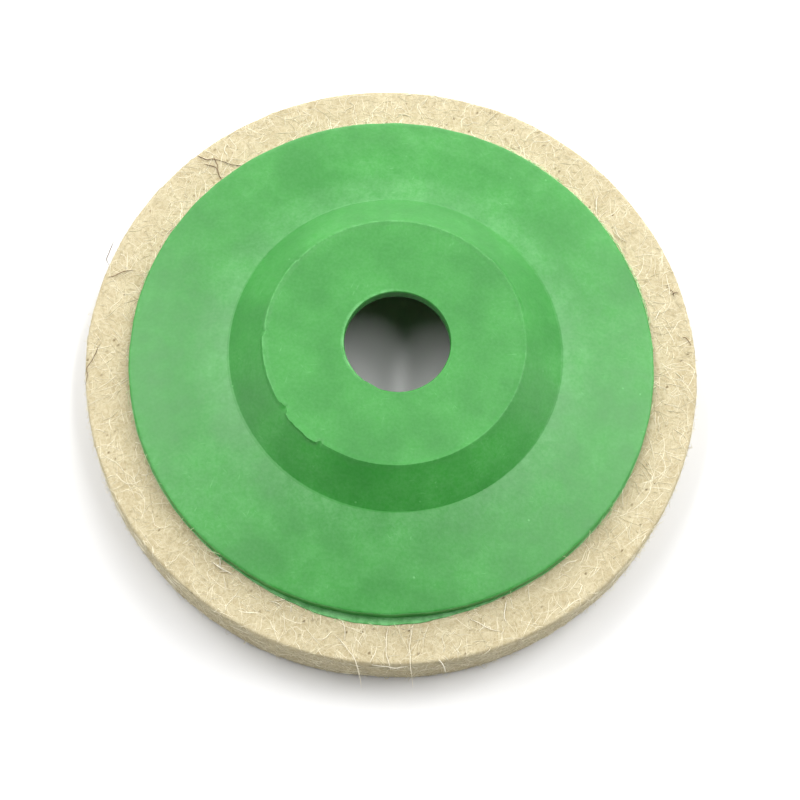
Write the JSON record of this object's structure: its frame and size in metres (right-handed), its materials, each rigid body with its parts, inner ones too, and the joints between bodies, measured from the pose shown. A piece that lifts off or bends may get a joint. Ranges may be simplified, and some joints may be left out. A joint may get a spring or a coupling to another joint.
{
  "type": "felt polishing wheel",
  "caption": "Flat polishing wheel for an angle grinder: a thick wool felt ring glued to a dished plastic backing plate with a raised, bored hub and a nut recess under it.",
  "frame": {"origin": "on the wheel's axis, in the plane of the felt's working face, which is the lowest face", "axes": "+Z along the wheel's axis from the working face to the hub's seat; X and Y are equivalent, because the wheel is a body of revolution"},
  "size_m": [0.1, 0.1, 0.02],
  "materials": {
    "moulded_plastic": "satin injection moulded",
    "contact_glue": "dried contact glue",
    "wool_felt": "coarse pressed wool felt, fuzzy"
  },
  "bodies": {
    "root": {"backing_plate": "moulded_plastic", "glue_layer": "contact_glue", "felt_ring": "wool_felt"}
  },
  "joints": []
}
